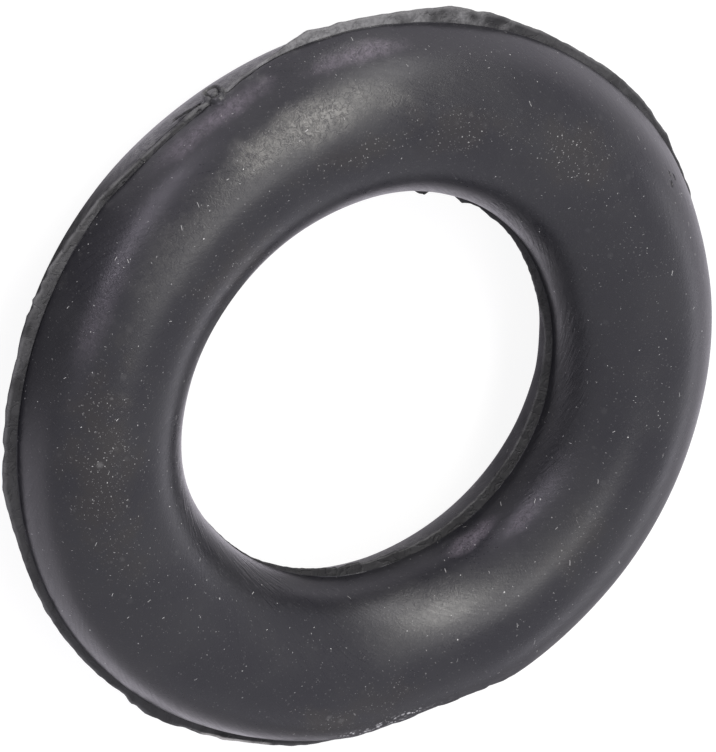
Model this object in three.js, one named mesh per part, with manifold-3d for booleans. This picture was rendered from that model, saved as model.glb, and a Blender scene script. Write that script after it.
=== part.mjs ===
// Exhaust hanger ring, in millimetres. A solid ring of moulded rubber: a hook on the car and a hook on the exhaust
// pass through its hole. It lies flat, +Z runs along the hole, and the origin is the middle of the parting plane.
import * as THREE from "three";
import { mergeVertices } from "three/addons/utils/BufferGeometryUtils.js";
import Module from "manifold-3d";

const wasm = await Module();
wasm.setup();

// The moulded body
const centreLineRadius = 24;
const sectionRadius = 7.05;
const crownLand = 2; // width of the flat ring on the crown, and of the one on the foot
const arcSteps = 14; // facets on each half of the section
const ringSteps = 90; // facets round the ring

// The flash that the two halves of the mould leave at the parting plane
const flashThickness = 0.6;
const flashSteps = 180;
const raggedness = 0.09; // how far the torn edge swings in and out
const tearWaves = [23, 41]; // swings in one turn of the ring
// Degrees round the ring, and how far the flash stands out of the body there
const outerFlashWidths = [
  [0, 1], [10, 0.85], [17, 0.9], [24, 1.2], [31, 1.5], [40, 1.15], [48, 1.15], [55, 1.35], [62, 0.45],
  [66, 0.16], [86, 0.16], [93, 0.45], [104, 0.8], [113, 0.8], [124, 1.2], [141, 1.25], [152, 0.85],
  [183, 0.75], [189, 1.1], [200, 0.95], [218, 1.05], [229, 0.4], [234, 0.25], [250, 0.45], [284, 0.3],
  [296, 0.16], [332, 0.18], [337, 0.5], [347, 0.85],
];
const innerFlashWidths = [
  [0, 0.16], [15, 0.25], [20, 0.14], [28, 0.5], [33, 0.2], [45, 0.3], [95, 0.45], [116, 0.3], [135, 0.15],
  [190, 0.14], [204, 0.3], [220, 0.4], [228, 0.3], [240, 0.4], [252, 0.25], [258, 0.38], [266, 0.2],
  [288, 0.16], [304, 0.37], [320, 0.43], [331, 0.6], [345, 0.4],
];

// The vent nub in its round lip, on the outer wall
const nubAngle = 72;
const nubDrop = 1; // below the parting plane
const nubRadius = 0.45;
const wellWidth = 0.17; // the groove between the nub and its lip
const wellDepth = 0.2;
const lipWidth = 0.22;
const lipHeight = 0.3; // above the round of the body
const lipRoot = 0.3; // how deep the lip's foot is buried in the body
const nubSteps = 24;

// The slit beside the nub
const slitAngle = 76;
const slitDrop = 1.5;
const slitLength = 2;
const slitWidth = 0.36;
const slitDepth = 0.5;

// The flat rubbed on the shoulder of the ring
const flatAngle = 235.5;
const flatLean = 32.5; // degrees up from the parting plane
const flatDepth = 0.6;

const radians = THREE.MathUtils.degToRad;
const bodyRadius = centreLineRadius + sectionRadius;
const holeRadius = centreLineRadius - sectionRadius;

const rubber = new THREE.MeshStandardMaterial({ color: 0x3c3c3f, roughness: 0.62, metalness: 0 });

function toSolid(geometry) {
  const bare = geometry.clone();
  bare.deleteAttribute("normal");
  bare.deleteAttribute("uv");
  const merged = mergeVertices(bare, 1e-5);
  const vertProperties = new Float32Array(merged.attributes.position.array);
  const triVerts = new Uint32Array(merged.index.array);
  return new wasm.Manifold(new wasm.Mesh({ numProp: 3, vertProperties, triVerts }));
}

function toGeometry(solid) {
  const { vertProperties, triVerts } = solid.getMesh();
  const geometry = new THREE.BufferGeometry();
  geometry.setAttribute("position", new THREE.BufferAttribute(vertProperties, 3));
  geometry.setIndex(new THREE.BufferAttribute(triVerts, 1));
  return geometry;
}

// A round section with a flat on its crown and its foot, turned about the axis of the hole
function bodySolid() {
  const arcEnd = Math.acos(crownLand / 2 / sectionRadius);
  const profile = [];
  for (const side of [1, -1]) {
    for (let i = 0; i <= arcSteps; i += 1) {
      const turn = arcEnd * ((2 * i) / arcSteps - 1);
      const out = side * sectionRadius * Math.cos(turn);
      const up = side * sectionRadius * Math.sin(turn);
      profile.push(new THREE.Vector2(centreLineRadius + out, up));
    }
  }
  profile.push(profile[0].clone());
  return toSolid(new THREE.LatheGeometry(profile, ringSteps).rotateX(Math.PI / 2));
}

// The width of the flash at one angle, eased between the listed places
function widthAt(widths, angle) {
  const next = widths.findIndex(([place]) => place > angle);
  const [from, start] = widths.at(next === -1 ? widths.length - 1 : next - 1);
  const [to, end] = widths.at(Math.max(next, 0));
  const span = (to - from + 360) % 360;
  const gone = ((angle - from + 360) % 360) / span;
  return THREE.MathUtils.lerp(start, end, THREE.MathUtils.smoothstep(gone, 0, 1));
}

// One torn edge of the flash, drawn on the body's own circle
function tornEdge(radius, outward, widths) {
  const points = [];
  for (let i = 0; i < flashSteps; i += 1) {
    const angle = (360 * i) / flashSteps;
    const turn = radians(angle);
    const tear = (Math.sin(tearWaves[0] * turn) + Math.sin(tearWaves[1] * turn)) / 2;
    const reach = radius + outward * (widthAt(widths, angle) + raggedness * tear);
    points.push(new THREE.Vector2(reach * Math.cos(turn), reach * Math.sin(turn)));
  }
  return points;
}

function flashSolid() {
  const sheet = new THREE.Shape(tornEdge(bodyRadius, 1, outerFlashWidths));
  sheet.holes.push(new THREE.Path(tornEdge(holeRadius, -1, innerFlashWidths)));
  const plate = new THREE.ExtrudeGeometry(sheet, { depth: flashThickness, bevelEnabled: false });
  return toSolid(plate.translate(0, 0, -flashThickness / 2));
}

// Turns a shape made about +Y so that +Y points straight out of the wall, some way below the parting plane
function seatOnWall(geometry, angle, drop) {
  const lean = Math.asin(drop / sectionRadius);
  geometry.translate(0, sectionRadius, 0);
  geometry.rotateZ(-Math.PI / 2);
  geometry.rotateY(lean);
  geometry.translate(centreLineRadius, 0, 0);
  return toSolid(geometry.rotateZ(radians(angle)));
}

function nubSolid() {
  const wellFloor = lipHeight - wellDepth;
  const wellEdge = nubRadius + wellWidth;
  const lipRadius = wellEdge + lipWidth;
  const outline = [
    [0, -lipRoot], [lipRadius, -lipRoot], [lipRadius, lipHeight], [wellEdge, lipHeight],
    [wellEdge, wellFloor], [nubRadius, wellFloor], [nubRadius, lipHeight], [0, lipHeight],
  ];
  const profile = outline.map(([out, up]) => new THREE.Vector2(out, up));
  return seatOnWall(new THREE.LatheGeometry(profile, nubSteps), nubAngle, nubDrop);
}

function slitCutter() {
  const cutter = new THREE.BoxGeometry(slitWidth, 2 * slitDepth, slitLength);
  return seatOnWall(cutter, slitAngle, slitDrop);
}

// A block whose inner face takes a thin slice off the shoulder
function flatCutter() {
  const lean = radians(flatLean);
  const faceDistance = centreLineRadius * Math.cos(lean) + sectionRadius - flatDepth;
  const block = new THREE.BoxGeometry(sectionRadius, 2 * sectionRadius, bodyRadius);
  block.rotateX(Math.PI / 2);
  block.translate(faceDistance + sectionRadius / 2, 0, 0);
  block.rotateY(-lean);
  return toSolid(block.rotateZ(radians(flatAngle)));
}

function ringSolid() {
  const moulding = bodySolid().add(flashSolid()).add(nubSolid());
  return moulding.subtract(slitCutter()).subtract(flatCutter());
}

const ring = new THREE.Mesh(toGeometry(ringSolid()), rubber);
ring.name = "rubber_ring";

const group = new THREE.Group();
group.add(ring);
export default group;
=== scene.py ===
import bpy
import math
import numpy as np
from mathutils import Matrix, Vector


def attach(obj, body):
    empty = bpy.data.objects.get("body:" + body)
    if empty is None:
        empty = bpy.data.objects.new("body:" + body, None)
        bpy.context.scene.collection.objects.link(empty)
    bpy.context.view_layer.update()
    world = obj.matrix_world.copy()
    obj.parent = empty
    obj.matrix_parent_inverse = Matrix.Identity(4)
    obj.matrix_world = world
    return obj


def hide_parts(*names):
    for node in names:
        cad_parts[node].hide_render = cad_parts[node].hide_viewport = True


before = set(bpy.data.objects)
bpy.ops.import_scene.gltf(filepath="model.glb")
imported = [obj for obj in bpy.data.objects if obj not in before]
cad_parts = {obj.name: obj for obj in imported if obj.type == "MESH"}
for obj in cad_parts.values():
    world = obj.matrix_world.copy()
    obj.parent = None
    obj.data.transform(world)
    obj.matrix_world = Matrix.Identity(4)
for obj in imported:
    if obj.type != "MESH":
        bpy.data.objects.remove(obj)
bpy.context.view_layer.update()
mm = 0.001


# The camera, on the line of sight that the photograph was taken along
cameraSetup = {
    "tilt": 36.77,  # degrees between the line of sight and the axis of the hole
    "roll": 49.54,  # degrees from the picture's right to the ring's +X
    "distance": 1.595,
    "pixelsPerMetre": 12415.8,  # at the middle of the ring
    "picture": (716, 752),
    "ringMiddle": (362.55, 380.60),  # where the ring's middle lies in the picture
    "sensor": 36.0,
}


def viewAxes(setup):
    tilt = math.radians(setup["tilt"])
    roll = math.radians(setup["roll"])
    back = Vector((0, math.sin(tilt), math.cos(tilt)))
    acrossRing = Vector((0, math.cos(tilt), -math.sin(tilt)))
    alongRing = Vector((1, 0, 0))
    right = alongRing * math.cos(roll) - acrossRing * math.sin(roll)
    up = alongRing * math.sin(roll) + acrossRing * math.cos(roll)
    return right, up, back


def makeCamera(setup):
    right, up, back = viewAxes(setup)
    width, height = setup["picture"]
    offRight = (setup["ringMiddle"][0] - width / 2) / setup["pixelsPerMetre"]
    offUp = (height / 2 - setup["ringMiddle"][1]) / setup["pixelsPerMetre"]
    target = -right * offRight - up * offUp
    data = bpy.data.cameras.new("camera")
    data.sensor_fit = "HORIZONTAL"
    data.sensor_width = setup["sensor"]
    data.lens = setup["sensor"] * setup["distance"] * setup["pixelsPerMetre"] / width
    data.clip_end = 20
    camera = bpy.data.objects.new("camera", data)
    turned = Matrix((right, up, back)).transposed().to_4x4()
    camera.matrix_world = Matrix.Translation(target + back * setup["distance"]) @ turned
    bpy.context.scene.collection.objects.link(camera)
    bpy.context.scene.camera = camera


makeCamera(cameraSetup)
print("camera placed")


# The mesh of the ring, in millimetres until it is handed to Blender
ringShape = {
    "centreLine": 24.0,
    "section": 7.05,
    "stepsPerDegree": 2.0,
    "closeSteps": 6.5,  # steps in a degree beside the vent nub
    "closeSpan": (68.0, 81.0),
    "frontPoints": 31,
    "closeFront": 4,  # rows close beside the crease, and the radians they take up
    "closeFrontSpan": 0.06,
    "wallPoints": 34,  # close rows on the rear wall, where the nub and the slit are
    "wallHeight": 2.6,
    "rearPoints": 18,
    "unevenness": 0.035,
    "unevenWaves": (2, 3, 5),  # waves in one turn of the ring
    "closeBlend": 3.0,  # degrees over which the steps close up
    # Degrees round the ring, and how far the outside and the inside stand off a true ring there
    "outsideSwell": [
        (0, 0), (40, -0.1), (74, -0.26), (95, -0.1), (112, -0.03), (140, -0.1), (180, 0), (232, 0),
        (248, 0.16), (270, 0.04), (300, -0.22), (325, -0.13), (345, 0),
    ],
    "insideSwell": [
        (0, 0), (20, 0.04), (40, 0.18), (70, 0.05), (95, 0), (120, 0.12), (148, 0.28), (180, 0),
        (200, 0.02), (220, 0.18), (240, 0.17), (285, 0.27), (300, 0.2), (316, 0), (332, -0.18),
        (345, 0),
    ],
    # How far the parting line, with its flash, strays from the middle plane
    "partingShift": [(0, 0), (48, 0), (64, -0.25), (92, -0.25), (112, 0)],
    # How far the front half of the body swells out where it meets the flash
    "creaseSwell": [
        (0, 0.23), (10, 0.2), (30, 0.22), (40, 0.35), (45, 0.5), (50, 0.62), (60, 0.63), (63, 0.55),
        (67, 0.28), (70, 0.03), (76, -0.1), (86, -0.16), (90, -0.12), (95, 0.15), (105, 0.25),
        (140, 0.25), (160, 0.23), (180, 0.16), (190, 0.17), (200, 0.1), (213, 0.05), (222, 0), (328, 0),
        (338, 0.2), (346, 0.28), (352, 0.3),
    ],
    "innerSwell": [
        (0, -0.1), (190, 0), (200, 0.03), (240, 0.03), (250, -0.1), (258, -0.2), (295, -0.2),
        (305, -0.12), (315, -0.2), (330, -0.27), (345, -0.12),
    ],
    "swellSpan": 0.36,  # radians up the section that the swelling takes to fade
    "grooveDepth": [
        (0, 0.02), (30, 0.03), (60, 0.08), (110, 0.08), (130, 0.1), (196, 0.08), (203, 0.45),
        (210, 0.45), (214, 0.1), (230, 0.08), (330, 0.04),
    ],
    "grooveSpan": 0.016,
    "rimRoll": 0.04,  # how far the body rolls in where it meets the flash
    "rollSpan": 0.035,
}

# Degrees round the ring, and how far the flash stands out of the body there
outerFlash = {
    "widths": [
        (0, 0.95), (6, 0.83), (7.2, 0.76), (8, 0.83), (12, 0.81), (17, 0.93), (22, 1.05), (23.2, 1.22),
        (27, 1.35), (28.2, 1.22), (30, 1.45), (32.5, 1.55), (35.5, 1.38), (38, 1.27), (42, 1.15),
        (47, 1.2), (50.3, 1.32), (52, 1.18), (55.3, 1.5), (58.5, 1.1), (61, 0.72), (65, 0.4),
        (70, 0.08), (84, 0.06), (90, 0.3), (95, 0.7), (99, 0.8), (104, 1.0), (107, 1.35), (108.2, 1.15),
        (109.3, 1.4), (110.3, 1.12), (112, 1.45), (113, 1.22), (114.5, 1.38), (119, 1.28), (121, 1.18),
        (124, 1.22), (134, 1.27), (135.6, 1.13), (137, 1.27), (141.5, 1.4), (145, 1.2), (151, 0.9),
        (160, 0.87), (176, 0.76), (184.2, 0.71), (186, 1.03), (187, 0.94), (189, 1.12), (195, 1.05),
        (196.2, 0.9), (199, 0.97), (202.5, 0.93), (203.5, 1.0), (205, 0.95), (210, 0.95), (217.5, 1.03),
        (221, 0.88), (225, 0.7), (228.5, 0.35), (236, 0.2), (260, 0.3), (290, 0.35), (320, 0.25),
        (333, 0.25), (336, 0.5), (341, 0.52), (345, 0.66), (347, 0.87), (350, 0.78), (354, 0.97),
    ],
    "buried": 0.06,
    "rootThickness": 0.62,
    "edgeThickness": 0.3,
    # How far the flash sinks beside the body
    "trench": [(0, 0), (198, 0), (203, 0.4), (211, 0.4), (215, 0)],
    "points": 6,
    "scallop": 0.018,
    "lumps": 0.05,
    "torn": 0.5,  # strength of the painted highlight along the torn edge, and on the top face beside it
    "tornTop": 0.3,
    "seed": 1.3,
}

innerFlash = {
    "widths": [
        (0, 0.15), (3, 0.24), (8, 0.1), (11, 0.14), (14, 0.4), (16.5, 0.22), (19, 0.02), (21, 0.06),
        (24, 0.22), (25.2, 0.1), (27, 0.68), (29.5, 0.6), (32, 0.32), (35, 0.4), (45, 0.5), (60, 0.4),
        (100, 0.45), (140, 0.35), (150, 0.12), (160, 0.04), (190, 0.04), (203, 0.3), (212, 0.6),
        (218, 0.72), (219, 0.6), (222, 0.84), (225.5, 0.86), (226.5, 0.68), (237.5, 0.84), (238.5, 0.7),
        (252, 0.62), (258, 0.7), (264, 0.7), (277, 0.82), (280, 0.72), (290, 0.72), (302, 0.7),
        (308, 0.56), (318, 0.38), (326, 0.42), (335, 0.42), (343, 0.43), (350, 0.28),
    ],
    "buried": 0.05,
    "rootThickness": 0.5,
    "edgeThickness": 0.2,
    "trench": [(0, 0)],
    "points": 4,
    "scallop": 0.02,
    "lumps": 0.02,
    "torn": 0.35,
    "seed": 4.1,
}

# Waves of both sheets of flash in one turn of the ring, and how far some of them swing
flashWaves = {
    "scallop": (61, 83, 118, 147, 203),
    "lump": (27, 41, 58, 83),
    "drift": (3, 7, 12),
    "driftHeight": 0.03,
    "flutter": (31, 44),
    "flutterHeight": 0.012,
    "thickness": (29, 71, 97),
    "thicknessShare": 0.2,
}

ventNub = {
    "angle": 71.75,
    "drop": 0.68,  # below the middle plane
    "stretch": 1.4,  # how much longer it is across the wall than along it
    "nub": 0.46,
    "lipInside": 0.62,
    "lipOutside": 0.92,
    "height": 0.4,
    "groove": 0.2,  # depth of the ring between the nub and its lip
    "unround": 0.04,
    # How far past its line each edge starts, and over what width it rises
    "nubEdge": (0.05, 0.12),
    "lipInnerEdge": (0.06, 0.12),
    "lipOuterEdge": (0.07, 0.15),
    "grooveEdge": (0, 0.1),
}

ventSlit = {
    "angle": 76.4,
    "drop": 0.97,
    "slant": 0.32,
    "length": 2.3,
    "width": 0.44,
    "depth": 1.1,
    "ridge": 0.16,  # height of the fold along the slit, on the side of the crease
    "ridgeWidth": 0.34,
}

rubbedFlat = {
    "angle": 235.5,
    "lean": 32.5,  # degrees from the parting plane up towards the crown
    "depth": 0.6,
    "softness": 0.12,
    "nicks": 0.06,
    "nickWaves": (37, 83, 131, 190),
}


def smooth(value):
    value = np.clip(value, 0, 1)
    return value * value * (3 - 2 * value)


def softEdge(inside, past, width):
    return smooth((inside + past) / width)


def ringAngles(shape):
    # Places round the ring, closer together beside the vent nub
    fine = np.linspace(0, 360, 7201)
    low, high = shape["closeSpan"]
    blend = shape["closeBlend"]
    near = smooth((fine - low + blend) / blend) * smooth((high + blend - fine) / blend)
    density = shape["stepsPerDegree"] + (shape["closeSteps"] - shape["stepsPerDegree"]) * near
    passed = np.concatenate([[0], np.cumsum((density[1:] + density[:-1]) / 2 * np.diff(fine))])
    count = int(round(passed[-1]))
    return np.interp(np.arange(count) * passed[-1] / count, passed, fine)


def closedStations(stations):
    # The places and the values, with the first one again after a full turn
    places, values = np.array(stations, dtype=float).T
    return np.append(places, places[0] + 360), np.append(values, values[0])


def valueAt(stations, angles):
    return np.interp(angles, *closedStations(stations))


def easedAt(stations, angles):
    # As valueAt, with a soft run from each place to the next
    places, values = closedStations(stations)
    index = np.clip(np.searchsorted(places, angles, side="right") - 1, 0, len(places) - 2)
    share = (angles - places[index]) / (places[index + 1] - places[index])
    return values[index] + (values[index + 1] - values[index]) * smooth(share)


def ripple(angles, waves, seed):
    # A repeatable uneven line: sines of unlike length that close after one turn
    turn = np.radians(angles)
    total = np.zeros_like(turn)
    for index, wave in enumerate(waves):
        total += np.sin(wave * turn + seed * (index + 1.7) ** 2)
    return total / math.sqrt(len(waves))


def sweep(points):
    # Even steps mixed with steps that close up at both ends
    even = np.linspace(0, 1, points)
    eased = (1 - np.cos(np.pi * even)) / 2
    return 0.45 * even + 0.55 * eased


def flashRows(angles, flash, crease, outward, shift, swell):
    # The top face, the torn edge and the under face, as rows of (radius, height)
    seed = flash["seed"]
    width = valueAt(flash["widths"], angles)
    torn = ripple(angles, flashWaves["scallop"], seed) * flash["scallop"] * np.clip(width / 0.5, 0.2, 1)
    reach = crease + outward * np.maximum(width + torn, swell + 0.02)
    middle = ripple(angles, flashWaves["drift"], seed + 2) * flashWaves["driftHeight"] + shift
    middle += ripple(angles, flashWaves["flutter"], seed + 5) * flashWaves["flutterHeight"]
    root = flash["rootThickness"] / 2
    uneven = flashWaves["thicknessShare"] * ripple(angles, flashWaves["thickness"], seed + 3)
    edge = flash["edgeThickness"] / 2 * (1 + uneven)
    trench = easedAt(flash["trench"], angles)
    rows = []
    count = flash["points"]
    for side in (1, -1):
        lump = ripple(angles, flashWaves["lump"], seed + side) * flash["lumps"] * np.clip(width, 0, 1)
        face = []
        foot = crease + outward * swell * (side == 1)
        for step in range(count):
            share = (step + 0.35) / (count - 0.35)
            radius = foot + (reach - foot) * share
            height = middle + side * (root + (edge - root) * share ** 0.7)
            height = height + side * lump * math.sin(math.pi * min(share, 0.9)) ** 2
            height = height - trench * (1 - share) * (side == 1)
            face.append((radius, height))
        rows.append(face)
    rim = []
    for turn in (50, 0, -50):
        radius = reach + outward * edge * math.cos(math.radians(turn)) * 0.7
        rim.append((radius, middle + edge * math.sin(math.radians(turn))))
    return rows[0] + rim + rows[1][::-1]


def wallRelief(angles, height, shape):
    # How far the rear wall stands out or in, round the vent nub and the slit
    wall = shape["centreLine"] + shape["section"]
    around = np.radians(angles - ventNub["angle"]) * wall
    above = (height + ventNub["drop"]) / ventNub["stretch"]
    away = np.hypot(around, above)
    away = away + ventNub["unround"] * np.sin(3 * np.arctan2(above, around) + 1)
    nub = softEdge(ventNub["nub"] - away, *ventNub["nubEdge"])
    lip = softEdge(away - ventNub["lipInside"], *ventNub["lipInnerEdge"])
    lip = lip * softEdge(ventNub["lipOutside"] - away, *ventNub["lipOuterEdge"])
    relief = ventNub["height"] * (0.85 * nub + lip)
    groove = softEdge(ventNub["lipInside"] - away, *ventNub["grooveEdge"])
    relief = relief - ventNub["groove"] * groove * (1 - nub)
    along = np.radians(angles - ventSlit["angle"]) * wall
    across = height + ventSlit["drop"] + ventSlit["slant"] * along
    ends = smooth((ventSlit["length"] / 2 - np.abs(along)) / 0.3 + 0.5)
    taper = ventSlit["width"] / 2 * (0.55 + 0.45 * ends)
    slit = smooth((taper - np.abs(across)) / 0.1 + 0.5) * ends
    fold = smooth(1 - np.abs(across - ventSlit["width"] * 1.15) / ventSlit["ridgeWidth"])
    fold = fold * smooth((ventSlit["length"] / 2 + 0.3 - np.abs(along + 0.2)) / 0.5)
    return np.maximum(relief, ventSlit["ridge"] * fold) - ventSlit["depth"] * slit


def buildRing(shape):
    angles = ringAngles(shape)
    section = shape["section"]
    middle = shape["centreLine"]
    column = angles[:, None]
    outside = easedAt(shape["outsideSwell"], angles)
    inside = easedAt(shape["insideSwell"], angles)
    shift = easedAt(shape["partingShift"], angles)
    swollen = easedAt(shape["creaseSwell"], angles)
    groove = easedAt(shape["grooveDepth"], angles)
    sunken = easedAt(shape["innerSwell"], angles)
    outerFoot = middle + section - outerFlash["buried"] + outside
    innerFoot = middle - section + innerFlash["buried"] + inside
    outerRows = flashRows(angles, outerFlash, outerFoot, 1, shift, swollen)
    innerRows = flashRows(angles, innerFlash, innerFoot, -1, 0, sunken)
    outerCrease = math.asin(outerFlash["rootThickness"] / 2 / section)
    innerCrease = math.asin(innerFlash["rootThickness"] / 2 / section)
    wallEnd = math.asin(shape["wallHeight"] / section)

    frontStart = outerCrease + shape["grooveSpan"]
    closeTurn = np.linspace(frontStart, frontStart + shape["closeFrontSpan"], shape["closeFront"] + 1)
    frontTurn = closeTurn[-1] + (math.pi - innerCrease - closeTurn[-1]) * sweep(shape["frontPoints"])
    frontTurn = np.concatenate([[outerCrease], closeTurn[:-1], frontTurn])
    wallTurn = -np.linspace(outerCrease, wallEnd, shape["wallPoints"])
    rearSteps = np.linspace(0, 1, shape["rearPoints"] + 1)[1:]
    rearTurn = -(wallEnd + (math.pi - innerCrease - wallEnd) * rearSteps)
    rearTurn = np.concatenate([wallTurn, rearTurn])[::-1]

    def arc(turn):
        # Slow unevenness of the moulding, along the surface's own direction
        swell = ripple(column + np.degrees(turn) * 0.4, shape["unevenWaves"], 0.4) * shape["unevenness"]
        reach = section + swell
        near = smooth(1 - np.abs(turn) * 4) * (np.abs(turn) < 1)
        height = reach * np.sin(turn) + shift[:, None] * near
        out = reach * np.cos(turn)
        out = out + outside[:, None] * smooth(np.cos(turn)) + inside[:, None] * smooth(-np.cos(turn))
        onWall = (np.cos(turn) > 0.85) & (turn < 0.2)
        out = out + np.where(onWall, wallRelief(column, height, shape), 0)
        out = out + swollen[:, None] * smooth(1 - (turn - outerCrease) / shape["swellSpan"]) * (turn > 0)
        roll = np.clip(1 - (turn - outerCrease) / shape["rollSpan"], 0, 1)
        out = out - shape["rimRoll"] * roll ** 2 * (turn > 0)
        inwards = math.pi - innerCrease - turn
        out = out - sunken[:, None] * smooth(1 - inwards / shape["swellSpan"]) * (turn > 0)
        return middle + out, height

    frontRadius, frontHeight = arc(frontTurn[None, :])
    frontRadius[:, 0] -= groove
    rearRadius, rearHeight = arc(rearTurn[None, :])
    innerRadius = np.stack([row[0] for row in innerRows], axis=1)
    innerHeight = np.stack([row[1] for row in innerRows], axis=1)
    outerRadius = np.stack([row[0] for row in outerRows], axis=1)[:, ::-1]
    outerHeight = np.stack([row[1] for row in outerRows], axis=1)[:, ::-1]
    lift = np.maximum(wallRelief(column, outerHeight, shape), 0)
    outerRadius = outerRadius + lift

    radius = np.concatenate([frontRadius, innerRadius, rearRadius, outerRadius], axis=1)
    height = np.concatenate([frontHeight, innerHeight, rearHeight, outerHeight], axis=1)
    turn = np.radians(column)
    points = np.stack([radius * np.cos(turn), radius * np.sin(turn), height], axis=2)
    flashRow = np.zeros(radius.shape[1], dtype=bool)
    first = frontRadius.shape[1]
    flashRow[first:first + innerRadius.shape[1]] = True
    flashRow[-outerRadius.shape[1]:] = True
    # How strongly each row of the flash gets a painted highlight along its torn edge, and -1 at the outer
    # flash's foot beside the crease, for painted shadow there
    tornEdge = np.zeros(radius.shape[1])
    innerEdge = first + innerFlash["points"]
    outerEdge = -outerFlash["points"]
    tornEdge[innerEdge:innerEdge + 3] = innerFlash["torn"]
    tornEdge[outerEdge - 3:outerEdge] = outerFlash["torn"]
    tornEdge[outerEdge] = outerFlash["tornTop"]
    tornEdge[-2:] = -1
    return rubFlat(points, shape), flashRow, tornEdge


def rubFlat(points, shape):
    # Presses what stands past the rubbed flat back to it, with a soft rim
    lean = math.radians(rubbedFlat["lean"])
    turn = math.radians(rubbedFlat["angle"])
    facing = np.array([math.cos(lean) * math.cos(turn), math.cos(lean) * math.sin(turn), math.sin(lean)])
    face = shape["centreLine"] * math.cos(lean) + shape["section"] - rubbedFlat["depth"]
    around = np.degrees(np.arctan2(points[..., 1], points[..., 0]))
    nicks = ripple(around, rubbedFlat["nickWaves"], 2.2) * rubbedFlat["nicks"]
    past = points @ facing - face + nicks
    soft = rubbedFlat["softness"]
    pressed = soft * np.log1p(np.exp(np.clip(past / soft, -40, 40)))
    return points - pressed[..., None] * facing


def meshFromRows(name, points, flash, tornEdge):
    ringCount, rowCount = points.shape[:2]
    index = np.arange(ringCount * rowCount).reshape(ringCount, rowCount)
    nextRing = np.roll(index, -1, axis=0)
    quads = np.stack([index, np.roll(index, -1, axis=1), np.roll(nextRing, -1, axis=1), nextRing], axis=2)
    quads = quads.reshape(-1, 4)[:, ::-1]
    mesh = bpy.data.meshes.new(name)
    mesh.vertices.add(ringCount * rowCount)
    mesh.vertices.foreach_set("co", (points * mm).astype(np.float32).ravel())
    mesh.loops.add(quads.size)
    mesh.loops.foreach_set("vertex_index", quads.astype(np.int32).ravel())
    mesh.polygons.add(len(quads))
    mesh.polygons.foreach_set("loop_start", np.arange(0, quads.size, 4, dtype=np.int32))
    mesh.update(calc_edges=True)
    mesh.validate()
    onFlash = np.broadcast_to(flash & np.roll(flash, -1), (ringCount, rowCount))
    mesh.polygons.foreach_set("material_index", onFlash.astype(np.int32).ravel())
    mesh.shade_smooth()
    edge = mesh.attributes.new("tornEdge", "FLOAT", "POINT")
    torn = np.broadcast_to(tornEdge, (ringCount, rowCount)).astype(np.float32)
    edge.data.foreach_set("value", torn.ravel())
    creaseRow = flash != np.roll(flash, 1)  # the rows where the flash leaves the body
    creaseRow |= np.roll(creaseRow, -1)
    creaseRow[1] = True  # the lip of the groove
    first = np.flatnonzero(flash)[0] + innerFlash["points"]
    creaseRow[[first - 1, first + 2]] = True  # the corners of the inner flash's edge
    ends = np.empty(2 * len(mesh.edges), dtype=np.int32)
    mesh.edges.foreach_get("vertices", ends)
    rows = ends.reshape(-1, 2) % rowCount
    sharp = mesh.attributes.new("sharp_edge", "BOOLEAN", "EDGE")
    sharp.data.foreach_set("value", (rows[:, 0] == rows[:, 1]) & creaseRow[rows[:, 0]])
    return mesh


ringPoints, flashRow, tornEdge = buildRing(ringShape)
ringMesh = meshFromRows("hangerRing", ringPoints, flashRow, tornEdge)
ring = bpy.data.objects.new("hangerRing", ringMesh)
bpy.context.scene.collection.objects.link(ring)
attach(ring, "root")
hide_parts("rubber_ring")
print("ring mesh:", ringPoints.shape, "points,", 2 * len(ringMesh.polygons), "triangles")


def addNode(tree, kind, inputs=None, **settings):
    # One shader node, with its settings, and a value or a link for each input named
    node = tree.nodes.new(kind)
    for label, value in settings.items():
        setattr(node, label, value)
    for label, value in (inputs or {}).items():
        if isinstance(value, bpy.types.NodeSocket):
            tree.links.new(value, node.inputs[label])
        else:
            node.inputs[label].default_value = value
    return node


def maths(tree, operation, *values):
    return addNode(tree, "ShaderNodeMath", dict(enumerate(values)), operation=operation).outputs[0]


def vectorMaths(tree, operation, *values, gives="Vector"):
    node = addNode(tree, "ShaderNodeVectorMath", dict(enumerate(values)), operation=operation)
    return node.outputs[gives]


def strongest(tree, first, *others):
    # The highest of several masks
    for mask in others:
        first = maths(tree, "MAXIMUM", first, mask)
    return first


def ramp(tree, value, low, high, start=0.0, end=1.0):
    # Runs smoothly from start to end while value goes from low to high
    inputs = {"Value": value, "From Min": low, "From Max": high, "To Min": start, "To Max": end}
    return addNode(tree, "ShaderNodeMapRange", inputs, interpolation_type="SMOOTHSTEP").outputs["Result"]


def noise(tree, place, scale, detail=2.0, distortion=0.0):
    inputs = {"Vector": place, "Scale": scale, "Detail": detail, "Distortion": distortion}
    return addNode(tree, "ShaderNodeTexNoise", inputs).outputs["Fac"]


def mixColour(tree, amount, first, second):
    inputs = {0: amount, 6: first, 7: second}
    inputs = {index: (*value, 1) if isinstance(value, tuple) else value for index, value in inputs.items()}
    return addNode(tree, "ShaderNodeMix", inputs, data_type="RGBA").outputs[2]


def newGroup(name, takes, gives):
    # A group of nodes: what it takes has a default, or None for a vector
    group = bpy.data.node_groups.new(name, "ShaderNodeTree")
    for label, value in takes.items():
        kind = "NodeSocketVector" if value is None else "NodeSocketFloat"
        socket = group.interface.new_socket(name=label, in_out="INPUT", socket_type=kind)
        if value is not None:
            socket.default_value = value
    for label, kind in gives.items():
        group.interface.new_socket(name=label, in_out="OUTPUT", socket_type="NodeSocket" + kind)
    return group, group.nodes.new("NodeGroupInput").outputs, group.nodes.new("NodeGroupOutput").inputs


def useGroup(tree, group, inputs=None):
    return addNode(tree, "ShaderNodeGroup", inputs, node_tree=group).outputs


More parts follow.
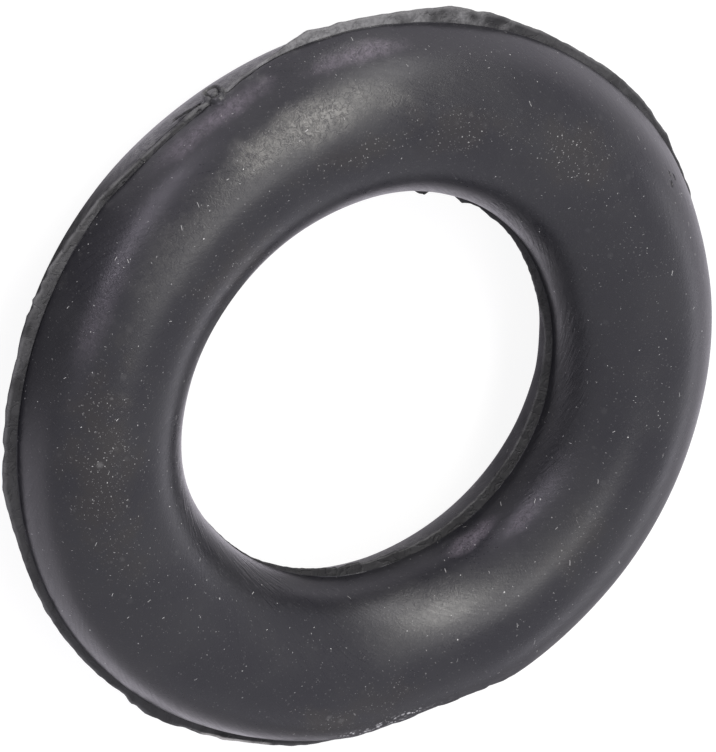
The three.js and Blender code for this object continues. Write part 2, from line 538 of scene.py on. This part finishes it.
def newMaterial(name):
    material = bpy.data.materials.new(name)
    material.use_nodes = True
    tree = material.node_tree
    return material, tree, tree.nodes["Principled BSDF"]


def linkBump(tree, shader, height):
    bump = addNode(tree, "ShaderNodeBump", {"Height": height, "Distance": mm})
    tree.links.new(bump.outputs["Normal"], shader.inputs["Normal"])


def makePlaceGroup(shape):
    # Where a point lies on the ring: degrees round it, degrees round its section, and both unrolled
    group, _, gives = newGroup("placeOnRing", {}, {
        "Millimetres": "Vector", "Wobbled": "Vector", "Unrolled": "Vector",
        "Turn": "Float", "Lean": "Float",
    })
    place = addNode(group, "ShaderNodeTexCoord").outputs["Object"]
    millimetres = vectorMaths(group, "MULTIPLY", place, (1000, 1000, 1000))
    parted = addNode(group, "ShaderNodeSeparateXYZ", {0: millimetres}).outputs
    turn = maths(group, "DEGREES", maths(group, "ARCTAN2", parted["Y"], parted["X"]))
    turn = maths(group, "FLOORED_MODULO", turn, 360.0)
    flat = addNode(group, "ShaderNodeCombineXYZ", {0: parted["X"], 1: parted["Y"]}).outputs[0]
    out = maths(group, "SUBTRACT", vectorMaths(group, "LENGTH", flat, gives="Value"), shape["centreLine"])
    lean = maths(group, "DEGREES", maths(group, "ARCTAN2", parted["Z"], out))
    along = maths(group, "MULTIPLY", turn, math.radians(shape["centreLine"]))
    across = maths(group, "MULTIPLY", lean, math.radians(shape["section"]))
    unrolled = addNode(group, "ShaderNodeCombineXYZ", {0: along, 1: across}).outputs[0]
    shift = addNode(group, "ShaderNodeTexNoise", {"Vector": millimetres, "Scale": 7.0, "Detail": 1.0})
    shift = vectorMaths(group, "SUBTRACT", shift.outputs["Color"], (0.5, 0.5, 0.5))
    wobbled = vectorMaths(group, "MULTIPLY_ADD", shift, (0.22, 0.22, 0.22), millimetres)
    found = {
        "Millimetres": millimetres, "Wobbled": wobbled, "Unrolled": unrolled, "Turn": turn, "Lean": lean,
    }
    for label, socket in found.items():
        group.links.new(socket, gives[label])
    return group


def makePatchGroup():
    # A soft ragged patch at one place on the ring
    takes = {"Turn": 0.0, "Lean": 0.0, "Torn": 0.0, "Middle Turn": 0.0, "Middle Lean": 90.0}
    takes.update({"Half Turn": 10.0, "Half Lean": 20.0})
    group, has, gives = newGroup("softPatch", takes, {"Mask": "Float"})
    away = maths(group, "SUBTRACT", has["Turn"], has["Middle Turn"])
    away = maths(group, "FLOORED_MODULO", maths(group, "ADD", away, 180.0), 360.0)
    away = maths(group, "DIVIDE", maths(group, "SUBTRACT", away, 180.0), has["Half Turn"])
    leaned = maths(group, "SUBTRACT", has["Lean"], has["Middle Lean"])
    leaned = maths(group, "DIVIDE", leaned, has["Half Lean"])
    pair = addNode(group, "ShaderNodeCombineXYZ", {0: away, 1: leaned}).outputs[0]
    reach = maths(group, "ADD", vectorMaths(group, "LENGTH", pair, gives="Value"), has["Torn"])
    group.links.new(ramp(group, reach, 0.12, 1.05, 1.0, 0.0), gives["Mask"])
    return group


def makeSpeckGroup():
    # Specks of unlike size and shape, strewn at random
    takes = {"Wobbled": None, "Spacing": 0.8, "Radius": 0.06, "Share": 0.5}
    group, has, gives = newGroup("strewnSpecks", takes, {"Mask": "Float"})
    cells = addNode(group, "ShaderNodeTexVoronoi", {
        "Vector": has["Wobbled"], "Scale": maths(group, "DIVIDE", 1.0, has["Spacing"]),
    })
    chance = addNode(group, "ShaderNodeSeparateColor", {0: cells.outputs["Color"]}).outputs
    away = maths(group, "MULTIPLY", cells.outputs["Distance"], has["Spacing"])
    size = maths(group, "MULTIPLY", maths(group, "MULTIPLY_ADD", chance[0], 0.9, 0.45), has["Radius"])
    speck = ramp(group, maths(group, "DIVIDE", away, size), 0.4, 1.2, 1.0, 0.0)
    there = maths(group, "LESS_THAN", chance[1], has["Share"])
    strength = maths(group, "MULTIPLY_ADD", maths(group, "POWER", chance[2], 3.0), 0.85, 0.15)
    speck = maths(group, "MULTIPLY", maths(group, "MULTIPLY", speck, there), strength)
    group.links.new(speck, gives["Mask"])
    return group


def makeFibreGroup():
    # Short bent fibres that lie along the surface, each in a cell of its own
    takes = {"Millimetres": None, "Spacing": 2.6, "Length": 0.6, "Width": 0.07, "Share": 0.4}
    group, has, gives = newGroup("lintFibres", takes, {"Mask": "Float"})
    cells = addNode(group, "ShaderNodeTexVoronoi", {
        "Vector": has["Millimetres"], "Scale": maths(group, "DIVIDE", 1.0, has["Spacing"]),
    })
    chance = addNode(group, "ShaderNodeSeparateColor", {0: cells.outputs["Color"]}).outputs
    away = vectorMaths(group, "SUBTRACT", has["Millimetres"], cells.outputs["Position"])
    upright = addNode(group, "ShaderNodeNewGeometry").outputs["Normal"]
    heading = vectorMaths(group, "SUBTRACT", cells.outputs["Color"], (0.5, 0.5, 0.5))
    forward = vectorMaths(group, "NORMALIZE", vectorMaths(group, "CROSS_PRODUCT", upright, heading))
    sideways = vectorMaths(group, "CROSS_PRODUCT", upright, forward)
    along = vectorMaths(group, "DOT_PRODUCT", away, forward, gives="Value")
    across = vectorMaths(group, "DOT_PRODUCT", away, sideways, gives="Value")
    bend = maths(group, "MULTIPLY", maths(group, "SUBTRACT", chance[2], 0.5), 1.6)
    across = maths(group, "MULTIPLY_ADD", maths(group, "MULTIPLY", along, along), bend, across)
    thin = maths(group, "DIVIDE", maths(group, "ABSOLUTE", across), has["Width"])
    half = maths(group, "MULTIPLY", has["Length"], maths(group, "MULTIPLY_ADD", chance[0], 0.4, 0.1))
    short = maths(group, "DIVIDE", maths(group, "ABSOLUTE", along), half)
    fibre = ramp(group, thin, 0.25, 0.65, 1.0, 0.0)
    fibre = maths(group, "MULTIPLY", fibre, ramp(group, short, 0.8, 1.0, 1.0, 0.0))
    there = maths(group, "LESS_THAN", chance[1], has["Share"])
    there = maths(group, "MULTIPLY", there, maths(group, "MULTIPLY_ADD", chance[2], 0.8, 0.2))
    group.links.new(maths(group, "MULTIPLY", fibre, there), gives["Mask"])
    return group


def makeGrainGroup():
    # Fine grain, wavy creases, slow clouding and slanting streaks of moulded rubber
    takes = {"Millimetres": None, "Unrolled": None, "Grain Size": 0.17, "Crease Size": 0.6}
    takes.update({"Cloud Size": 7.0, "Streak Slant": 0.6, "Streak Width": 0.22})
    labels = ("Grain", "Creases", "Cloud", "Streaks")
    group, has, gives = newGroup("mouldedGrain", takes, {label: "Float" for label in labels})
    grain = noise(group, has["Millimetres"], maths(group, "DIVIDE", 1.0, has["Grain Size"]), 3.0)
    wavy = noise(group, has["Millimetres"], maths(group, "DIVIDE", 1.0, has["Crease Size"]), 4.0, 0.8)
    folded = maths(group, "ABSOLUTE", maths(group, "SUBTRACT", wavy, 0.5))
    cloud = noise(group, has["Millimetres"], maths(group, "DIVIDE", 1.0, has["Cloud Size"]), 4.0, 0.4)
    slanted = addNode(group, "ShaderNodeVectorRotate", {
        "Vector": has["Unrolled"], "Angle": has["Streak Slant"],
    }, rotation_type="Z_AXIS").outputs[0]
    slanted = vectorMaths(group, "MULTIPLY", slanted, (0.11, 1.0, 1.0))
    streaks = noise(group, slanted, maths(group, "DIVIDE", 1.0, has["Streak Width"]), 2.0, 0.3)
    group.links.new(grain, gives["Grain"])
    group.links.new(ramp(group, folded, 0.0, 0.07, 1.0, 0.0), gives["Creases"])
    group.links.new(ramp(group, cloud, 0.3, 0.7), gives["Cloud"])
    group.links.new(ramp(group, streaks, 0.25, 0.75), gives["Streaks"])
    return group


placeGroup = makePlaceGroup(ringShape)
patchGroup = makePatchGroup()
speckGroup = makeSpeckGroup()
fibreGroup = makeFibreGroup()
grainGroup = makeGrainGroup()
print("node groups made")


def patchMask(tree, place, torn, patches, tornShare=1.0):
    # All the patches of one kind, the strongest where they meet, with their edges more or less torn
    torn = maths(tree, "MULTIPLY", torn, tornShare)
    total = 0.0
    for turn, lean, halfTurn, halfLean, strength in patches:
        mask = useGroup(tree, patchGroup, {
            "Turn": place["Turn"], "Lean": place["Lean"], "Torn": torn,
            "Middle Turn": turn, "Middle Lean": lean, "Half Turn": halfTurn, "Half Lean": halfLean,
        })["Mask"]
        mask = maths(tree, "MULTIPLY", mask, strength)
        total = maths(tree, "MAXIMUM", total, mask)
    return total


def strewSpecks(tree, place, setup):
    return useGroup(tree, speckGroup, {"Wobbled": place["Wobbled"], **setup})["Mask"]


bodyFinish = {
    "darkRubber": (0.0140, 0.0138, 0.0172),
    "cloudedRubber": (0.0200, 0.0200, 0.0224),
    "scuffHighlightColour": (0.120, 0.118, 0.109),
    "paintedHighlightColour": (0.125, 0.110, 0.130),
    "paintedRimReflection": (0.17, 0.16, 0.18),
    "paledWall": (0.105, 0.105, 0.102),
    "paintedShadow": (0.003, 0.003, 0.003),
    "stain": (0.034, 0.029, 0.021),
    "stainStrength": 0.4,
    "scuffHighlightTorn": 0.6,  # share of the tearing at the edges of these patches
    "paintedHighlightTorn": 0.5,
    "rimReflectionTorn": 0.6,
    "rubbedTorn": 0.35,
    "tornScale": 0.45,  # of the noise, in waves to a millimetre, as are the two below
    "blotchScale": 1.7,
    "wallScale": 1.6,
    "dust": (0.62, 0.62, 0.60),
    "fineMottle": 0.45,  # share of the mottle in the scuffs, painted highlights and painted rim reflection that is as fine as the grain
    "creaseMottle": 0.35,
    "mottle": 0.75,
    "roughness": 0.33,
    # What each of these adds to the roughness
    "grainRoughness": {"Cloud": 0.06, "Grain": 0.12, "Streaks": 0.08},
    "dustRoughness": 0.4,
    "rubbedRoughness": 0.5,
    "dustSpecks": {"Spacing": 0.42, "Radius": 0.045, "Share": 0.7},
    "powder": {"Spacing": 0.22, "Radius": 0.05, "Share": 0.85},
    "smudges": {"Spacing": 1.1, "Radius": 0.26, "Share": 0.8},
    # What a stain adds to the strength of the powder and the smudges, and what they have without it
    "powderLevel": (0.85, 0.12),
    "smudgeLevel": (0.14, 0.02),
    "lint": {"Spacing": 2.3, "Length": 0.5, "Width": 0.045, "Share": 0.22},
    "pits": {"Spacing": 0.9, "Radius": 0.1, "Share": 0.35},
    "grainHeight": 0.009,  # millimetres
    "creaseHeight": 0.018,
    "streakHeight": 0.003,
    "combedHeight": 0.04,
    "combing": {"Streak Slant": 0.3, "Streak Width": 0.34},
    # What the patches of wear and painted highlight add to the depth of the creases and the grain, and what
    # they have without it
    "creaseLevel": (0.9, 0.1),
    "grainLevel": (1.8, 1.0),
    "nicks": {"Spacing": 0.34, "Radius": 0.15, "Share": 0.9},
    "nickColour": (0.65, 0.65, 0.65),
    "pitDepth": 0.06,
    "darkPitDepth": 0.25,
}

# Patches on the ring, each with the degrees round the ring and round the section where it lies, half its
# span in both, and its strength. First the stains.
stains = [
    (136, 68, 26, 30, 0.8),
    (91, 108, 17, 24, 0.6),
    (57, 87, 12, 15, 0.6),
    (9, 80, 12, 26, 0.7),
    (274, 106, 12, 18, 0.5),
    (222, 76, 12, 20, 0.5),
    (214, 60, 11, 22, 1.0),
    (36, 84, 14, 20, 0.6),
]

# Scuffs painted pale where the broad highlight falls: partly real scuffing, partly painted highlight
scuffsAndPaintedHighlight = [
    (64, 54, 20, 20, 1.0),
    (90, 61, 24, 22, 0.25),
    (238, 142, 20, 16, 0.2),
]

# The wall behind the flash, paled round the vent nub, and a stretch of the wall of the hole
wallPatches = [
    (66, -12, 13, 22, 1.0),
    (84, -16, 14, 22, 0.8),
    (101, -18, 13, 26, 0.7),
    (228, -168, 34, 24, 1.0),
]

# The vent nub, paler than the wall
nubPatches = [
    (71.75, -5.6, 2.4, 12, 0.7),
]

# Small dark places with a clean edge, painted near black as painted shade: three pits, and the inside of
# the slit beside the nub
shadedPitPatches = [
    (345.9, 44, 0.8, 3.0, 1.0),
    (345.6, 36, 0.9, 2.4, 1.0),
    (347.0, 39, 0.6, 2.0, 1.0),
    (75.4, -6.6, 2.0, 2.2, 1.0),
    (77.5, -9.3, 2.0, 2.2, 1.0),
]

# Painted shadow: dark ledges under the flash in the hole, and the shadowed end of the lower crease beside
# the flash
paintedShadows = [
    (216, 12, 7, 12, 0.35),
    (256, -177, 1.2, 3, 1.0),
    (279, -172, 2.2, 8, 0.8),
    (291, -171, 5, 7, 0.8),
    (265, -174, 2.5, 5, 0.6),
    (320, -172, 22, 14, 0.6),
    (206, 4, 8, 6, 1.0),
]

# Where the gloss is lost: the rubbed flat with the ground round it, and the rear wall of the hole
rubbedPatches = [
    (238, 26, 26, 44, 1.0),
    (215, 10, 14, 28, 1.0),
    (308, -160, 50, 50, 1.0),
]

# White nicks along the upper edge of the rubbed flat
nickedPatches = [
    (221, 44, 5, 8, 1.0),
    (226, 50, 5, 8, 1.0),
    (231, 55, 5, 8, 1.0),
]

# Shoulders combed by the mould, with streaks that fan out from the crease
combedPatches = [
    (188, 152, 20, 26, 1.0),
    (155, 140, 24, 22, 0.7),
    (5, 158, 30, 24, 0.7),
    (305, 160, 40, 22, 0.8),
]

# Painted highlights: pale purplish patches where the reflection of a light falls
paintedHighlights = [
    (50, 22, 10, 11, 1.0),
    (75, 15, 13, 12, 0.9),
    (110, 42, 14, 12, 0.3),
    (257, 161, 10, 9, 1.0),
    (269, 145, 9, 7, 0.45),
]

# Painted reflection: the wall of the hole, painted pale along its edge
paintedRimReflections = [
    (132, 151, 16, 9, 0.6),
    (152, 160, 16, 11, 0.8),
    (172, 170, 15, 12, 0.8),
    (190, 176, 14, 10, 0.6),
    (232, -156, 34, 14, 0.7),
]


def makeBodyRubber(finish):
    material, tree, shader = newMaterial("bodyRubber")
    place = useGroup(tree, placeGroup)
    grain = useGroup(tree, grainGroup, {"Millimetres": place["Millimetres"], "Unrolled": place["Unrolled"]})
    torn = ramp(tree, noise(tree, place["Millimetres"], finish["tornScale"], 4.0), 0.2, 0.8, -0.45, 0.45)
    stained = patchMask(tree, place, torn, stains)
    # Scuffs with a painted highlight, painted highlights, and a painted reflection along the rim of the
    # hole
    scuffAndHighlight = patchMask(tree, place, torn, scuffsAndPaintedHighlight, finish["scuffHighlightTorn"])
    paintedHighlight = patchMask(tree, place, torn, paintedHighlights, finish["paintedHighlightTorn"])
    walled = patchMask(tree, place, torn, wallPatches)
    rimReflection = patchMask(tree, place, torn, paintedRimReflections, finish["rimReflectionTorn"])
    wearAndSheen = strongest(tree, scuffAndHighlight, paintedHighlight, walled, rimReflection)

    specks = strewSpecks(tree, place, finish["dustSpecks"])
    powder = strewSpecks(tree, place, finish["powder"])
    powder = maths(tree, "MULTIPLY", powder, maths(tree, "MULTIPLY_ADD", stained, *finish["powderLevel"]))
    smudges = strewSpecks(tree, place, finish["smudges"])
    smudges = maths(tree, "MULTIPLY", smudges, maths(tree, "MULTIPLY_ADD", stained, *finish["smudgeLevel"]))
    lint = useGroup(tree, fibreGroup, {"Millimetres": place["Millimetres"], **finish["lint"]})["Mask"]
    dust = strongest(tree, specks, powder, lint, smudges)
    pits = strewSpecks(tree, place, finish["pits"])

    blotches = noise(tree, place["Millimetres"], finish["blotchScale"], 4.0, 0.6)
    blotches = ramp(tree, blotches, 0.32, 0.68)
    mottle = maths(tree, "MULTIPLY", blotches, 1.0 - finish["fineMottle"])
    mottle = maths(tree, "MULTIPLY_ADD", ramp(tree, grain["Grain"], 0.3, 0.7), finish["fineMottle"], mottle)
    mottle = maths(tree, "MULTIPLY_ADD", grain["Creases"], -finish["creaseMottle"], mottle)
    colour = mixColour(tree, grain["Cloud"], finish["darkRubber"], finish["cloudedRubber"])
    paled = maths(tree, "MULTIPLY_ADD", mottle, finish["mottle"], 1.1 - finish["mottle"])
    colour = mixColour(tree, maths(tree, "MULTIPLY", scuffAndHighlight, paled), colour, finish["scuffHighlightColour"])
    colour = mixColour(tree, maths(tree, "MULTIPLY", paintedHighlight, paled), colour, finish["paintedHighlightColour"])
    colour = mixColour(tree, maths(tree, "MULTIPLY", rimReflection, paled), colour, finish["paintedRimReflection"])
    cloudy = ramp(tree, noise(tree, place["Millimetres"], finish["wallScale"], 3.0), 0.35, 0.65)
    walled = maths(tree, "MULTIPLY", walled, cloudy)
    walled = strongest(tree, walled, patchMask(tree, place, torn, nubPatches, 0.0))
    colour = mixColour(tree, walled, colour, finish["paledWall"])
    # Painted shadow in the ledges and the crease end, and painted shade in the pits and the slit
    shadedPits = patchMask(tree, place, torn, shadedPitPatches, 0.0)
    paintedShadow = strongest(tree, patchMask(tree, place, torn, paintedShadows), shadedPits)
    colour = mixColour(tree, paintedShadow, colour, finish["paintedShadow"])
    stained = maths(tree, "MULTIPLY", stained, finish["stainStrength"])
    colour = mixColour(tree, stained, colour, finish["stain"])
    colour = mixColour(tree, dust, colour, finish["dust"])
    nicks = ramp(tree, strewSpecks(tree, place, finish["nicks"]), 0.05, 0.35)
    nicks = maths(tree, "MULTIPLY", nicks, patchMask(tree, place, torn, nickedPatches))
    colour = mixColour(tree, nicks, colour, finish["nickColour"])
    tree.links.new(colour, shader.inputs["Base Color"])

    rough = finish["roughness"]
    for label, share in finish["grainRoughness"].items():
        rough = maths(tree, "MULTIPLY_ADD", maths(tree, "SUBTRACT", grain[label], 0.5), share, rough)
    rough = maths(tree, "MULTIPLY_ADD", dust, finish["dustRoughness"], rough)
    rubbed = patchMask(tree, place, torn, rubbedPatches, finish["rubbedTorn"])
    rough = maths(tree, "MULTIPLY_ADD", rubbed, finish["rubbedRoughness"], rough)
    tree.links.new(rough, shader.inputs["Roughness"])

    deeper = maths(tree, "MULTIPLY_ADD", wearAndSheen, *finish["creaseLevel"])
    creases = maths(tree, "MULTIPLY", grain["Creases"], deeper)
    height = maths(tree, "MULTIPLY", grain["Grain"], finish["grainHeight"])
    height = maths(tree, "MULTIPLY", height, maths(tree, "MULTIPLY_ADD", wearAndSheen, *finish["grainLevel"]))
    height = maths(tree, "MULTIPLY_ADD", creases, -finish["creaseHeight"], height)
    combed = patchMask(tree, place, torn, combedPatches)
    streaks = useGroup(tree, grainGroup, {
        "Millimetres": place["Millimetres"], "Unrolled": place["Unrolled"], **finish["combing"],
    })["Streaks"]
    combed = maths(tree, "MULTIPLY", maths(tree, "MULTIPLY", combed, streaks), finish["combedHeight"])
    height = maths(tree, "ADD", height, combed)
    height = maths(tree, "MULTIPLY_ADD", grain["Streaks"], finish["streakHeight"], height)
    pits = maths(tree, "MULTIPLY", pits, wearAndSheen)
    height = maths(tree, "MULTIPLY_ADD", pits, -finish["pitDepth"], height)
    height = maths(tree, "MULTIPLY_ADD", shadedPits, -finish["darkPitDepth"], height)
    linkBump(tree, shader, height)
    return material


flashFinish = {
    "darkRubber": (0.008, 0.0078, 0.0085),
    "cloudedRubber": (0.016, 0.016, 0.017),
    "paleRubber": (0.18, 0.18, 0.182),
    # the pale colour of the painted highlight along the torn edges
    "tornEdge": (0.15, 0.15, 0.15),
    "fuzz": (0.45, 0.44, 0.42),
    # painted shadow in the slot between the flash and the body
    "gapShadow": (0.003, 0.0025, 0.002),
    "dust": (0.36, 0.36, 0.35),
    "roughness": 0.58,
    "grainRoughness": 0.3,
    "gloss": 0.44,
    "tornScale": 0.6,
    "grain": {"Grain Size": 0.3, "Crease Size": 1.4, "Cloud Size": 3.0},
    "dustSpecks": {"Spacing": 0.7, "Radius": 0.06, "Share": 0.4},
    "pits": {"Spacing": 0.8, "Radius": 0.14, "Share": 0.5},
    "grainHeight": 0.03,
    "creaseHeight": 0.03,
    "pitDepth": 0.08,
}

# Stretches of the flash given a paler colour
paleFlash = [
    (49, 0, 30, 60, 1.0),
    (108, 0, 22, 60, 0.25),
    (160, 0, 60, 60, 0.12),
    (8, 0, 20, 60, 0.16),
]

# Where the edge of the flash is pale with fuzz, and painted shadow in the narrow slot between the sheet and
# the body
fuzzAndGapShadowPatches = [
    (205, 0, 9, 40, 1.0),
]


def makeFlashRubber(finish):
    material, tree, shader = newMaterial("tornFlashRubber")
    shader.inputs["Specular IOR Level"].default_value = finish["gloss"]
    place = useGroup(tree, placeGroup)
    grain = useGroup(tree, grainGroup, {
        "Millimetres": place["Millimetres"], "Unrolled": place["Unrolled"], **finish["grain"],
    })
    specks = strewSpecks(tree, place, finish["dustSpecks"])
    pits = strewSpecks(tree, place, finish["pits"])
    torn = ramp(tree, noise(tree, place["Millimetres"], finish["tornScale"], 4.0), 0.2, 0.8, -0.45, 0.45)
    paled = ramp(tree, grain["Grain"], 0.3, 0.65, 0.6, 1.0)
    paled = maths(tree, "MULTIPLY", patchMask(tree, place, torn, paleFlash), paled)
    colour = mixColour(tree, grain["Cloud"], finish["darkRubber"], finish["cloudedRubber"])
    colour = mixColour(tree, paled, colour, finish["paleRubber"])
    fuzzAndGapShadow = patchMask(tree, place, torn, fuzzAndGapShadowPatches)
    # The painted edge highlight on the torn rows, and the painted shadow at the outer flash's foot
    edgeShading = addNode(tree, "ShaderNodeAttribute", attribute_name="tornEdge").outputs["Fac"]
    edge = maths(tree, "MULTIPLY", edgeShading, ramp(tree, grain["Cloud"], 0.1, 0.6, 0.2, 1.0))
    colour = mixColour(tree, edge, colour, finish["tornEdge"])
    for label, span in (("fuzz", (0.05, 0.3)), ("gapShadow", (-0.2, -0.9))):
        mask = maths(tree, "MULTIPLY", ramp(tree, edgeShading, *span), fuzzAndGapShadow)
        colour = mixColour(tree, mask, colour, finish[label])
    colour = mixColour(tree, specks, colour, finish["dust"])
    tree.links.new(colour, shader.inputs["Base Color"])
    rough = maths(tree, "SUBTRACT", grain["Grain"], 0.5)
    rough = maths(tree, "MULTIPLY_ADD", rough, finish["grainRoughness"], finish["roughness"])
    tree.links.new(rough, shader.inputs["Roughness"])
    height = maths(tree, "MULTIPLY", grain["Grain"], finish["grainHeight"])
    height = maths(tree, "MULTIPLY_ADD", grain["Creases"], -finish["creaseHeight"], height)
    height = maths(tree, "MULTIPLY_ADD", pits, -finish["pitDepth"], height)
    linkBump(tree, shader, height)
    return material


ring.data.materials.append(makeBodyRubber(bodyFinish))
ring.data.materials.append(makeFlashRubber(flashFinish))
print("rubber made")


studio = {
    "floorSize": 6.0,
    "floorColour": (0.17, 0.17, 0.17),
    "floorGlow": 0.9,  # seen by the camera, so that the floor reads as white paper
    "floorGloss": (0.75, 1.28),  # seen in the gloss of the rubber, from the far side to the near side
    "floorNear": (-0.97, -0.25, 0.0),
    "nearFallOff": (-0.035, 0.035),
    "floorTint": (1.0, 0.95, 1.06),
    "floorDark": (-0.438, 0.899, 0.0),  # the way to the unlit part of the paper, and how far it spreads
    "floorFallOff": (0.82, 0.975),
    "floorHollow": (-0.001, -0.003, 0.0),  # the unlit paper inside the hole
    "hollowFallOff": (0.0075, 0.011),
    "floorEdge": (-0.9, -0.43, 0.0),  # the way in which the light on the paper fades, and where it does
    "edgeFallOff": (0.038, 0.054),
    "floorFar": (-0.259, -0.966, 0.0),  # a second way in which the light on the paper fades
    "farFallOff": (0.72, 0.96),
    "fadedShare": 0.3,  # what is left of the light where it has faded these two ways
    "worldColour": (0.99, 0.97, 1.07),
    "worldStrength": 0.64,
    "worldSideStrength": 0.12,  # added towards the open side of the studio
    "worldSide": (-0.4, -0.8, 0.25),
    "worldSideFallOff": (-0.3, 0.8),
    "worldShade": 0.62,  # taken off towards the unlit corner of the studio
    "shadeSide": (-0.45, 0.8, -0.35),
    "shadeFallOff": (0.68, 0.96),
}

softboxes = {
    "keySoftbox": {
        "towards": (0.55, 0.38, 0.69), "size": (0.4, 0.8), "power": 9.3, "colour": (1, 0.98, 0.93),
    },
    "overheadSoftbox": {
        "towards": (0.15, 0.05, 0.99), "size": (0.4, 0.8), "power": 3.4, "colour": (1, 0.98, 0.96),
    },
    "lowSoftbox": {
        "towards": (0.90, 0.40, 0.25), "size": (0.4, 0.6), "power": 3.0, "colour": (1, 0.98, 0.98),
    },
    "sideSoftbox": {
        "towards": (-0.06, 0.95, 0.21), "size": (0.95, 0.16), "power": 3.5, "colour": (1, 0.92, 1.08),
        "roll": 31,
    },
    "rimSoftbox": {
        "towards": (0.30, -0.93, 0.16), "size": (1.2, 0.36), "power": 1.7, "colour": (1, 0.97, 1.05),
    },
}
softboxDistance = 1.3


def makeFloor(setup, level):
    half = setup["floorSize"] / 2
    mesh = bpy.data.meshes.new("floor")
    corners = [(-half, -half, level), (half, -half, level), (half, half, level), (-half, half, level)]
    mesh.from_pydata(corners, [], [(0, 1, 2, 3)])
    floor = bpy.data.objects.new("floor", mesh)
    bpy.context.scene.collection.objects.link(floor)
    material, tree, shader = newMaterial("paperFloor")
    shader.inputs["Base Color"].default_value = (*setup["floorColour"], 1)
    shader.inputs["Roughness"].default_value = 0.9
    shader.inputs["Specular IOR Level"].default_value = 0.1
    rays = addNode(tree, "ShaderNodeLightPath").outputs
    place = addNode(tree, "ShaderNodeTexCoord").outputs["Object"]
    nearSide = vectorMaths(tree, "DOT_PRODUCT", place, setup["floorNear"], gives="Value")
    bearing = vectorMaths(tree, "NORMALIZE", vectorMaths(tree, "MULTIPLY", place, (1, 1, 0)))
    darkSide = vectorMaths(tree, "DOT_PRODUCT", bearing, setup["floorDark"], gives="Value")
    gloss = ramp(tree, nearSide, *setup["nearFallOff"], *setup["floorGloss"])
    gloss = maths(tree, "MULTIPLY", gloss, ramp(tree, darkSide, *setup["floorFallOff"], 1.0, 0.0))
    away = vectorMaths(tree, "DISTANCE", place, setup["floorHollow"], gives="Value")
    gloss = maths(tree, "MULTIPLY", gloss, ramp(tree, away, *setup["hollowFallOff"]))
    faded = setup["fadedShare"]
    edgeSide = vectorMaths(tree, "DOT_PRODUCT", place, setup["floorEdge"], gives="Value")
    gloss = maths(tree, "MULTIPLY", gloss, ramp(tree, edgeSide, *setup["edgeFallOff"], 1.0, faded))
    farSide = vectorMaths(tree, "DOT_PRODUCT", bearing, setup["floorFar"], gives="Value")
    gloss = maths(tree, "MULTIPLY", gloss, ramp(tree, farSide, *setup["farFallOff"], 1.0, faded))
    gloss = maths(tree, "MULTIPLY", gloss, rays["Is Glossy Ray"])
    glow = maths(tree, "MULTIPLY_ADD", rays["Is Camera Ray"], setup["floorGlow"], gloss)
    tint = mixColour(tree, rays["Is Camera Ray"], setup["floorTint"], (1.0, 1.0, 1.0))
    tree.links.new(tint, shader.inputs["Emission Color"])
    tree.links.new(glow, shader.inputs["Emission Strength"])
    mesh.materials.append(material)


def makeWorld(setup):
    world = bpy.data.worlds.new("studioWorld")
    bpy.context.scene.world = world
    world.use_nodes = True
    tree = world.node_tree
    background = tree.nodes["Background"]
    background.inputs["Color"].default_value = (*setup["worldColour"], 1)
    place = addNode(tree, "ShaderNodeTexCoord").outputs["Generated"]
    level = setup["worldStrength"]
    for side, fallOff, strength in (
        ("worldSide", "worldSideFallOff", setup["worldSideStrength"]),
        ("shadeSide", "shadeFallOff", -setup["worldShade"]),
    ):
        towards = Vector(setup[side]).normalized()
        facing = vectorMaths(tree, "DOT_PRODUCT", place, towards, gives="Value")
        level = maths(tree, "ADD", level, ramp(tree, facing, *setup[fallOff], 0.0, strength))
    tree.links.new(level, background.inputs["Strength"])


def makeSoftbox(name, box):
    data = bpy.data.lights.new(name, "AREA")
    data.shape = "RECTANGLE"
    data.size, data.size_y = box["size"]
    data.energy = box["power"]
    data.color = box["colour"]
    lamp = bpy.data.objects.new(name, data)
    towards = Vector(box["towards"]).normalized()
    turned = towards.to_track_quat("Z", "Y").to_matrix().to_4x4()
    turned = turned @ Matrix.Rotation(math.radians(box.get("roll", 0)), 4, "Z")
    lamp.matrix_world = Matrix.Translation(towards * softboxDistance) @ turned
    bpy.context.scene.collection.objects.link(lamp)


makeFloor(studio, float(ringPoints[..., 2].min()) * mm)
makeWorld(studio)
for boxName, box in softboxes.items():
    makeSoftbox(boxName, box)
bpy.context.scene.view_settings.view_transform = "Standard"
print("studio lit")
